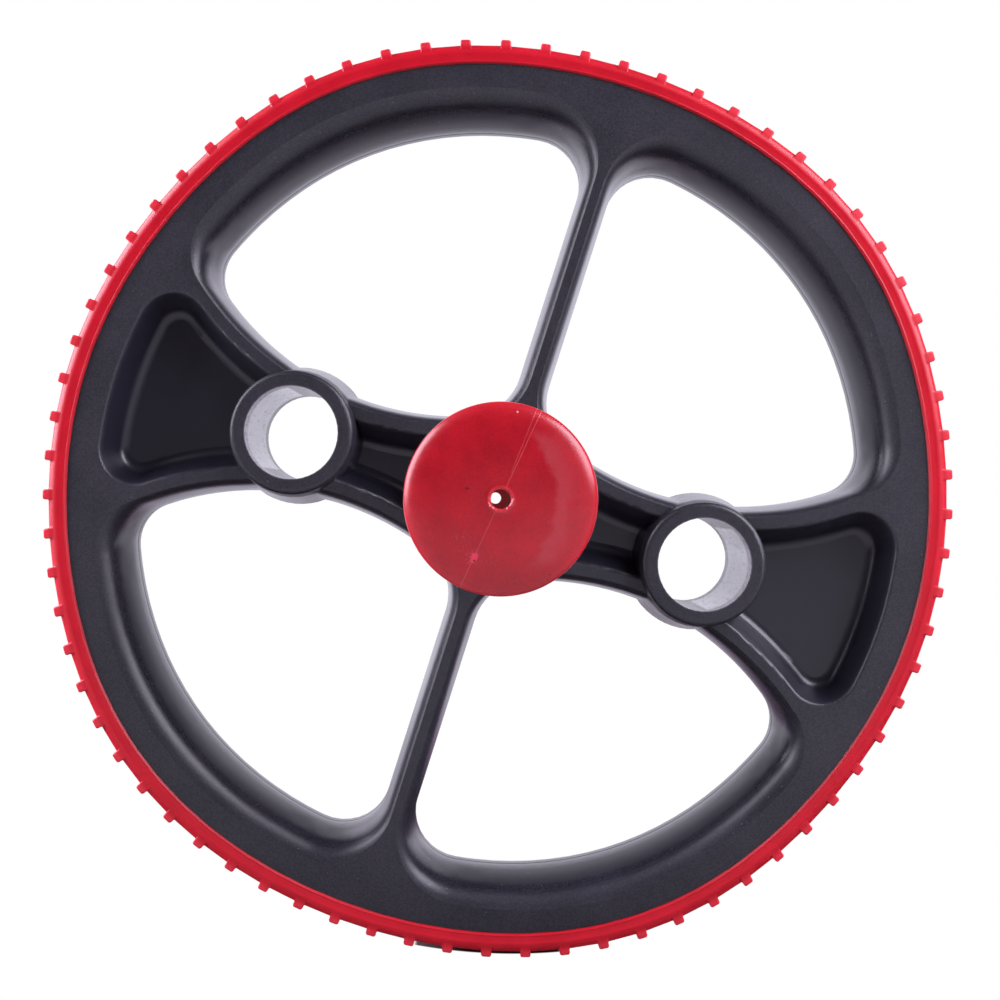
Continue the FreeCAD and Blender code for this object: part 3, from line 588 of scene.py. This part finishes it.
wheelSize = {
    "lobes": {2: -0.0037, 4: -0.0073, 6: 0.0038, 8: 0.0010},  # waves round the rim, share of its radius
    "lobeStart": 140 * mm,  # the lobes grow from here to the tyre's seat
    "joinDigits": 7,
    "alike": 20,  # degrees within which normals at a point are joined
    "wallDepth": 24.7 * mm,  # of the walls, short of the face
    "wallFacing": 0.9,  # a normal's share along the axle is under this on a wall
    "rimSpan": 128 * mm,  # the rim's walls lie past these two distances
    "rimAcross": 40 * mm,
    "rimFade": 12 * mm,
    "lean": math.radians(27),  # leans under this are eased
    "leanLeast": 0.1,
    "leanPower": 0.6,
    "sharp": 180,  # no edge is split, since the normals are given
}


def lobeShare(x, z):
    # sum of cosines of the angle from the arm, each with its share
    angle = np.arctan2(-z, x) - tiltAngle
    return sum(share * np.cos(waves * angle) for waves, share in wheelSize["lobes"].items())


def readMesh(mesh):
    # points, the point at each corner, and the normals at the corners of each triangle
    spots = np.empty(len(mesh.vertices) * 3)
    mesh.vertices.foreach_get("co", spots)
    corners = np.empty(len(mesh.loops), dtype=np.int32)
    mesh.loops.foreach_get("vertex_index", corners)
    normals = np.empty(len(mesh.loops) * 3)
    mesh.corner_normals.foreach_get("vector", normals)
    return spots.reshape(-1, 3), corners, normals.reshape(-1, 3, 3)


def wallNormals(size, spots, span, faces, normals):
    # the loft's faces don't quite run on into each other, so normals that nearly agree at a point of a wall
    # become their mean, on each half of the wheel
    halves = faces + len(spots) * (spots[faces, 1].mean(axis=1) > 0)[:, None]
    mean = np.zeros((2 * len(spots), 3))
    np.add.at(mean, halves, normals)
    mean /= np.maximum(np.linalg.norm(mean, axis=1, keepdims=True), tiny)
    alike = (normals * mean[halves]).sum(axis=2) > math.cos(math.radians(size["alike"]))
    alike &= np.abs(spots[faces, 1]) < size["wallDepth"]
    alike &= np.abs(mean[halves, 1]) < size["wallFacing"]
    normals = np.where(alike[..., None], mean[halves], normals)
    # on the rim's walls a lean is scaled by a power of itself, which eases it towards the parting plane
    across = np.abs(spots[:, 0] * tiltSin + spots[:, 2] * tiltCos)
    onRim = np.clip((span - size["rimSpan"]) / size["rimFade"], 0, 1)
    onRim = (onRim * np.clip((across - size["rimAcross"]) / size["rimFade"], 0, 1))[faces]
    lean = np.arcsin(np.clip(normals[..., 1], -1, 1))
    eased = lean * np.clip(np.abs(lean) / size["lean"], size["leanLeast"], 1) ** (size["leanPower"] * onRim)
    level = np.cos(eased) / np.maximum(np.cos(lean), tiny)
    return np.stack([normals[..., 0] * level, np.sin(eased), normals[..., 2] * level], axis=-1)


def makeWheel(size):
    # the solid's own surface, joined at shared points and warped by the lobes near the tyre's seat
    spots, corners, normals = readMesh(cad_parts["wheel_body"].data)
    spots, joined = np.unique(np.round(spots, size["joinDigits"]), axis=0, return_inverse=True)
    faces = joined.reshape(-1)[corners].reshape(-1, 3)
    whole = (faces != np.roll(faces, 1, axis=1)).all(axis=1)  # a face whose points were joined is left out
    span = np.hypot(spots[:, 0], spots[:, 2])
    weight = np.clip((span - size["lobeStart"]) / (seatRadius - size["lobeStart"]), 0, 1)
    spots[:, ::2] *= (1 + weight * lobeShare(spots[:, 0], spots[:, 2]))[:, None]
    normals = wallNormals(size, spots, span, faces, normals)
    made = bpy.data.meshes.new("wheel_moulding")
    made.from_pydata(spots.tolist(), [], faces[whole].tolist())
    made.update()
    showPiece(made, "wheel", wheelPlastic, ["wheel_body"], size["sharp"])
    made.normals_split_custom_set(normals[whole].reshape(-1, 3).tolist())


makeWheel(wheelSize)
print("wheel made")


# Tyre: the band's section is carried round the axle and blended into the cleat's section at each cleat

tyreSize = {
    "cleats": 72,
    "phase": math.radians(1.26),  # first cleat below level, at the right
    "drift": math.radians(0.76),  # the band is stretched unevenly, which shifts its cleats by up to this
    "driftTurn": math.radians(15.4),
    "cleatHeight": 1.7 * mm,
    "cleatHalf": 2.0 * mm,  # half width at the tip
    "cleatRound": 0.8 * mm,
    "cleatFoot": 0.40 * mm,  # fillet at its foot
    "cleatClear": 1.2 * mm,  # wall to the plain band
    "cleatEnd": 25.6 * mm,  # mid plane to its end face
    "endRound": 0.7 * mm,
    "endLean": 0.45 * mm,  # by which the end face leans back to its top
    "halfWidth": 26.0 * mm,
    "crown": 0.55,  # share of the tread's flat at which a row of points lies
    "shoulder": 4.2 * mm,
    "seatGap": 0.1 * mm,
    "lap": 0.25 * mm,  # lip's lap over the rim's chamfer
    "lapOut": 0.02 * mm,  # its edge stands off the wheel's face
    "lapBack": 0.15 * mm,  # and meets the seat this far behind it
    "bead": 0.60 * mm,  # seat to the crest of the bead on the lip
    "beadRound": 0.25 * mm,
    "sink": 0.07 * mm,  # side face behind the bead's crest
    "sideSteps": ((0.03 * mm, 3.2 * mm), (0, 2.2 * mm), (0, 1.2 * mm)),  # off the sunk side, off the seat
    "shade": 0.35 * mm,  # the lip's inner slope is painted in shade up to here
    "shadeFade": 0.3 * mm,
    "roundSteps": 7,  # points on the rounds of end and bead, edge and foot
    "edgeSteps": 6,
    "footSteps": 4,
    "endSteps": 5,  # points down the cleat's end face and the rest of the shoulder
    "sharp": 60,
}


def tyreSections(size):
    # band and cleat sections as (axial, radial) points, paired one to one; on the side they coincide
    tread = tipRadius - size["cleatHeight"]
    flat = size["halfWidth"] - size["shoulder"]
    crown = flat * size["crown"]
    bore = seatRadius + size["seatGap"]
    meet = 90 - math.degrees(math.asin((size["cleatEnd"] - flat) / size["shoulder"]))
    shoulderCentre = (flat, tread - size["shoulder"])
    beadCentre = (size["halfWidth"] - size["beadRound"], bore + size["bead"])
    sunk = size["halfWidth"] - size["sink"]
    many, few = size["roundSteps"], size["endSteps"]

    underCleat = arcPoints(shoulderCentre, size["shoulder"], 90, meet, many + few - 1)
    side = np.vstack([arcPoints(shoulderCentre, size["shoulder"], meet, 0, few)[1:],
                      np.array(size["sideSteps"]) + [sunk, bore],
                      arcPoints(beadCentre, size["beadRound"], 45, -45, many),
                      [[faceHalf + size["lapOut"], bore - size["lap"]],
                       [faceHalf - size["lapBack"], bore],
                       [size["halfWidth"] / 2, bore]]])
    endTop = size["cleatEnd"] - size["endLean"]
    endCentre = (endTop - size["endRound"], tipRadius - size["endRound"])
    cleatEnd = np.vstack([arcPoints(endCentre, size["endRound"], 90, 0, many),
                          np.linspace([endTop, endCentre[1]], underCleat[-1], few)[1:]])
    band = np.vstack([[[0.0, tread], [crown, tread]], underCleat, side])
    cleat = np.vstack([[[0.0, tipRadius], [crown, tipRadius]], cleatEnd, side])

    def bothSides(half):
        return np.vstack([half[:0:-1] * [-1, 1], half])

    return bothSides(band), bothSides(cleat)


def cleatRise(size):
    # rise of a cleat against the distance along the tread: flat top, rounded edge, wall, foot fillet
    half, height = size["cleatHalf"], size["cleatHeight"]
    rounding, foot = size["cleatRound"], size["cleatFoot"]
    edge = arcPoints((half - rounding, height - rounding), rounding, 90, 0, size["edgeSteps"])
    fillet = arcPoints((half + foot, foot), foot, 180, 270, size["footSteps"])
    halfRise = np.vstack([[[0, height]], edge, fillet, [[half + size["cleatClear"], 0]]])
    return np.vstack([halfRise[:0:-1] * [-1, 1], halfRise])


def makeTyre(size):
    # each turn's section lies between band and cleat by the share of the cleat's rise there
    band, cleat = tyreSections(size)
    rise = cleatRise(size)
    even = 2 * math.pi / size["cleats"] * np.arange(size["cleats"])[:, None]
    middle = even + size["phase"] + size["drift"] * np.cos(even - size["driftTurn"])
    turn = (middle + rise[:, 0] / tipRadius).reshape(-1, 1)
    share = np.tile(rise[:, 1] / size["cleatHeight"], size["cleats"]).reshape(-1, 1, 1)
    section = band + share * (cleat - band)
    axial, radial = section[..., 0], section[..., 1]
    radial = radial * (1 + lobeShare(np.cos(turn), -np.sin(turn)))
    upright = np.clip(-radial * np.sin(turn), -tipRadius, tipRadius)  # the lobes stay in the solid's box
    points = np.stack([radial * np.cos(turn), axial, upright], axis=-1)
    mesh = gridMesh("tyre_band", points, closed=True)
    lifted = np.linalg.norm(section - band, axis=-1) / size["cleatHeight"]
    pointValues(mesh, "raised", np.clip(lifted, 0, 1))
    # painted shade on the lip's inner slope, handed to the material as "inner"
    shaded = seatRadius + size["seatGap"] + size["shade"] - band[:, 1]
    inner = np.clip(shaded / size["shadeFade"], 0, 1)
    pointValues(mesh, "inner", np.broadcast_to(inner, lifted.shape))
    showPiece(mesh, "wheel", tyreRubber, ["tyre"], size["sharp"])


makeTyre(tyreSize)
print("tyre made")


# Handles: a section turned about the axle, with a ragged end hole and the set screw's hole

handleSize = {
    "flange": 28.2 * mm,
    "flangeWidth": 13.0 * mm,
    "flangeBack": 3.0 * mm,
    "faceInset": 0.2 * mm,
    "dome": 6.2 * mm,  # the end falls away by this much to its rim
    "domePower": 3.1,
    "domeStart": 0.03,  # radians
    "domeSteps": 44,
    "root": 5.0 * mm,
    "rootSteps": 10,
    "gripEnd": 16.3 * mm,
    "gripWaist": 17.2 * mm,
    "gripSteps": 180,
    "guard": 23.0 * mm,
    "guardWidth": 11.0 * mm,
    "guardRound": 3.0 * mm,
    "guardSteps": 33,
    "roundSteps": 9,  # points on the rounds of flange and guard
    "rings": 7,
    "ringMargin": 19.35 * mm,
    "ringDepth": 1.2 * mm,
    "ringHalf": 2.1 * mm,
    "ringPower": 0.8,
    "hole": 2.85 * mm,
    "holeStep": 6.0 * mm,
    "lip": np.array([  # radius, height off the end's face, and how far the tear moves it out and up
        [2.85, -0.90, 0.040, 0.000],
        [3.00, -0.45, 0.096, 0.000],
        [3.30, -0.05, 0.176, 0.036],
        [3.55, 0.12, 0.224, 0.060],
        [3.85, 0.10, 0.176, 0.036],
    ]) * mm,
    "lipEnd": 4.25 * mm,
    "tear": ((2, 0.7, 0.55), (5, 2.1, 0.5), (9, 0.4, 0.4), (17, 1.3, 0.35)),  # waves, phase, share
    "bore": 8.02 * mm,
    "endWall": 16.0 * mm,
    "screwTurn": -math.pi / 2,  # straight down
    "screwHole": 2.55 * mm,
    "screwSeat": 19.9 * mm,
    "screwWall": 22.5 * mm,  # only what lies further out is sunk
    "screwSpread": 0.17,  # radians to each side of the screw that have more steps
    "screwSteps": 41,
    "turnSteps": 160,
    "turnDigits": 5,
    "sharp": 35,
}


def handleSection(size):
    # closed section as (radius, distance from the mid plane), from the end hole out and round to the bore;
    # with it, how far the tear moves each point
    gripStop = handleReach - size["flangeWidth"]
    gripStart = handleStart + size["guardWidth"]
    inner = handleReach - size["endWall"]
    face = handleReach - size["faceInset"]
    lip = size["lip"]
    hole = np.vstack([[[size["hole"], inner], [size["hole"], handleReach - size["holeStep"]]],
                      lip[:, :2] + [0, face]])

    # the end is a superellipse: radius and fall, each as a share, to the power, add up to one
    power = size["domePower"]
    turned = np.linspace(size["domeStart"], math.pi / 2, size["domeSteps"])
    radius = np.maximum(size["flange"] * np.sin(turned) ** (2 / power), size["lipEnd"])
    radius = radius[np.append(radius[1:] > radius[:-1], True)]
    share = np.clip(1 - (radius / size["flange"]) ** power, 0, 1) ** (1 / power)
    plate = np.stack([radius, face - size["dome"] * (1 - share)], axis=-1)
    backCentre = (size["flange"] - size["flangeBack"], gripStop + size["flangeBack"])
    back = arcPoints(backCentre, size["flangeBack"], 0, -90, size["roundSteps"])
    root = size["root"]
    rootOut = size["gripEnd"] + root
    rootTop = arcPoints((rootOut, gripStop - root), root, 90, 180, size["rootSteps"])
    rootLow = arcPoints((rootOut, gripStart + root), root, 180, 270, size["rootSteps"])

    # swelling grip: a shallow parabola with cosine hollows for the finger rings
    depth = np.linspace(rootTop[-1][1], rootLow[0][1], size["gripSteps"])
    middle = (gripStop + gripStart) / 2
    reach = (gripStop - gripStart) / 2
    radius = size["gripWaist"] - (size["gripWaist"] - size["gripEnd"]) * ((depth - middle) / reach) ** 2
    rings = np.linspace(gripStart + size["ringMargin"], gripStop - size["ringMargin"], size["rings"])
    near = np.clip(np.abs(depth[:, None] - rings).min(axis=1) / size["ringHalf"], 0, 1)
    radius = radius - size["ringDepth"] * (0.5 + 0.5 * np.cos(math.pi * near)) ** size["ringPower"]
    grip = np.stack([radius, depth], axis=-1)[1:-1]

    rounding = size["guardRound"]
    inset = size["guard"] - rounding
    guardTop = gripStart - rounding
    guardLow = handleStart + rounding
    wall = np.linspace([size["guard"], guardTop], [size["guard"], guardLow], size["guardSteps"])[1:-1]
    collar = np.vstack([arcPoints((inset, guardTop), rounding, 90, 0, size["roundSteps"]), wall,
                        arcPoints((inset, guardLow), rounding, 0, -90, size["roundSteps"])])
    bore = [[size["bore"], handleStart], [size["bore"], inner]]
    section = np.vstack([hole, plate, back, rootTop, grip, rootLow, collar, bore])
    moved = np.zeros_like(section)
    moved[len(hole) - len(lip):len(hole)] = lip[:, 2:]
    return section, moved


def makeHandle(name, front, size):
    section, moved = handleSection(size)
    # even steps round the axle, and more where the set screw's hole is
    whole = 2 * math.pi
    screwTurn = size["screwTurn"]
    spread = size["screwSpread"]
    turn = screwTurn + np.concatenate([np.linspace(0, whole, size["turnSteps"], endpoint=False),
                                       np.linspace(-spread, spread, size["screwSteps"])])
    turn = np.unique(np.round(turn % whole, size["turnDigits"]))[:, None]
    # the mouth of the end hole is torn: its edge wanders with a few sines of the angle
    torn = sum(share * np.sin(waves * turn + phase) for waves, phase, share in size["tear"])
    radius = section[:, 0] + torn * moved[:, 0]
    depth = section[:, 1] + np.clip(torn, -1, 1) * moved[:, 1]
    # the screw's hole: the collar's wall is sunk to the seat inside a circle about the screw
    gap = (turn - screwTurn + math.pi) % whole - math.pi
    screwDepth = handleStart + size["guardWidth"] / 2
    away = np.hypot(gap * size["guard"], depth - screwDepth)
    radius = np.where((away < size["screwHole"]) & (radius > size["screwWall"]), size["screwSeat"], radius)
    side = -1 if front else 1
    points = np.stack([radius * np.cos(turn), side * depth, radius * np.sin(turn)], axis=-1)
    mesh = gridMesh(name, points, closed=True, flip=front)
    node = name.replace("_grip", "_handle")
    return showPiece(mesh, "handles", handlePlastic, [node], size["sharp"])


for name, front in (("front_grip", True), ("rear_grip", False)):
    makeHandle(name, front, handleSize).visible_glossy = False  # keeps its red out of the wheel's gloss
print("handles made")


# Stage: floor, backdrop, world, lamps and camera

stageSize = {
    "floor": 6.0,
    "backdrop": 1.5,  # behind the wheel
    "sky": 0.08,
    "tint": (0.89, 0.86, 1.0, 1),
    "pale": (0.45, 0.41, 0.41, 1),  # floor in the wheel's shade
    "dim": (0.035, 0.030, 0.040, 1),  # floor under the wheel and ahead of it, as they mirror in the wheel: painted shade, seen only in gloss
    "ahead": (0.90, 0.87, 1.0, 1),
    "aheadStart": (0.0, -0.26),
    "behindStart": (0.18, 0.48),  # the sweep behind the wheel is lit and mirrors in it
    "blush": (0.80, 0.55, 0.84, 1),  # light thrown by the red tyre on the sweep's near part
    "blushStart": (0.45, 0.30),
    "unlit": (0.02, 0.02, 0.02, 1),
    "glowReach": (1.9, 0.85),  # the lit middle of the backdrop
    "shadeMiddle": -4.0 * mm,  # the floor's shade is kept this near the tyre's foot
    "shadeHalf": (29.5 * mm, 27.5 * mm),
    "shadeFoot": 6.0 * mm,
    "shadeReach": 20.7 * mm,  # its front edge, which bends back to both sides
    "shadeBend": 7.7,
    "shadeEdge": (-0.5 * mm, 0.7 * mm),
    "shadeFade": (0.12, 0.024),
    "shadeBlur": 26.0 * mm,  # its sides and end are soft at the back
}


def makeStage(size):
    half = size["floor"] / 2
    ground = tyreBox[0][2]
    back = size["backdrop"]

    def addFlat(name, corners, material):
        mesh = gridMesh(name, np.array(corners, dtype=float))
        mesh.materials.append(material)
        flat = bpy.data.objects.new(name, mesh)
        bpy.context.scene.collection.objects.link(flat)

    p = newPaint("floor_white")
    x, y = p.axes(p.place())[:2]
    shadeFront = y + size["shadeReach"] - (x - size["shadeFoot"]) ** 2 * size["shadeBend"]
    blur = p.ease(y, 0, size["shadeFade"][0]) * size["shadeBlur"]
    shade = p.ease(abs(x - size["shadeMiddle"]), size["shadeHalf"][0] + blur, size["shadeHalf"][1] - blur)
    shade = shade * p.ease(shadeFront, *size["shadeEdge"]) * p.ease(y, *size["shadeFade"])
    camera = p.ray("Camera")
    pale = p.node("ShaderNodeBsdfDiffuse", sockets={"Color": size["pale"]})
    # painted shade under the wheel, as the floor mirrors in the wheel
    ahead = p.blend(p.ease(y, *size["aheadStart"]), size["dim"], size["ahead"])
    sweep = p.blend(p.ease(y, *size["blushStart"]), size["tint"], size["blush"])
    sweep = p.blend(p.ease(y, *size["behindStart"]), ahead, sweep)
    glow = p.glow(p.blend(camera, sweep, white))
    floorPaint = p.finish(p.mixShader(camera * (1 - shade) + p.ray("Glossy"), pale, glow))
    addFlat("floor", [[[-half, -half, ground], [half, -half, ground]],
                      [[-half, back, ground], [half, back, ground]]], floorPaint)

    q = newPaint("backdrop_white")
    x, z = q.axes(q.place())[::2]
    lit = q.ease(hypot(x, z), *size["glowReach"]) * q.ray("Glossy")
    glow = q.glow(q.blend(lit, size["unlit"], size["tint"]))
    backPaint = q.finish(q.mixShader(q.ray("Camera"), glow, q.glow(white)))
    addFlat("backdrop", [[[-half, back, ground], [half, back, ground]],
                         [[-half, back, half], [half, back, half]]], backPaint)

    world = bpy.data.worlds.new("white_room")
    bpy.context.scene.world = world
    w = Paint(world)
    dim = w.node("ShaderNodeBackground", sockets={"Color": size["tint"], "Strength": size["sky"]})
    plain = w.node("ShaderNodeBackground", sockets={"Color": white, "Strength": 1.0})
    w.finish(w.mixShader(w.ray("Camera"), dim, plain), "ShaderNodeOutputWorld")


lampSize = {
    "left_softbox": {"place": (-0.95, -0.04, 0.44), "aim": (0, 0, 0), "sides": (1.0, 0.9), "power": 30},
    "right_softbox": {"place": (0.78, -0.34, 0.53), "aim": (0, 0, 0), "sides": (0.7, 0.75), "power": 19},
    "top_softbox": {"place": (0, -0.20, 1.1), "aim": (0, 0, 0), "sides": (2.2, 1.5), "power": 1.5},
    "front_fill": {"place": (0.46, -1.26, -0.54), "aim": (0, 0, -0.1), "sides": (1.4, 0.9), "power": 8.0},
    "sweep_glow": {"place": (0, 1.1, 0), "aim": (0, 0, 0), "sides": (1.1, 1.1), "power": 1.8},
}
glossLamps = ("sweep_glow",)  # these show only in gloss


def makeLamp(name, size):
    lamp = bpy.data.lights.new(name, "AREA")
    lamp.shape = "RECTANGLE"
    lamp.size, lamp.size_y = size["sides"]
    lamp.energy = size["power"]
    lamp.color = stageSize["tint"][:3]
    holder = bpy.data.objects.new(name, lamp)
    holder.visible_camera = name not in glossLamps
    holder.visible_diffuse = name not in glossLamps
    holder.location = size["place"]
    toward = Vector(size["aim"]) - Vector(size["place"])
    holder.rotation_euler = toward.to_track_quat("-Z", "Y").to_euler()
    bpy.context.scene.collection.objects.link(holder)


cameraSize = {
    "place": (-3.5 * mm, -590.0 * mm, 0.6 * mm),
    "lens": 53.06,
    "sensor": 36.0,
    "shiftX": 0.01144,
    "shiftY": -0.00307,
    "clipStart": 10 * mm,
}


def makeCamera(size):
    data = bpy.data.cameras.new("camera")
    data.lens = size["lens"]
    data.sensor_width = size["sensor"]
    data.shift_x = size["shiftX"]
    data.shift_y = size["shiftY"]
    data.clip_start = size["clipStart"]
    camera = bpy.data.objects.new("camera", data)
    camera.location = size["place"]
    camera.rotation_euler = (math.pi / 2, 0, 0)
    bpy.context.scene.collection.objects.link(camera)
    bpy.context.scene.camera = camera


makeStage(stageSize)
for name, size in lampSize.items():
    makeLamp(name, size)
makeCamera(cameraSize)
bpy.context.scene.view_settings.view_transform = "Standard"
print("stage set")
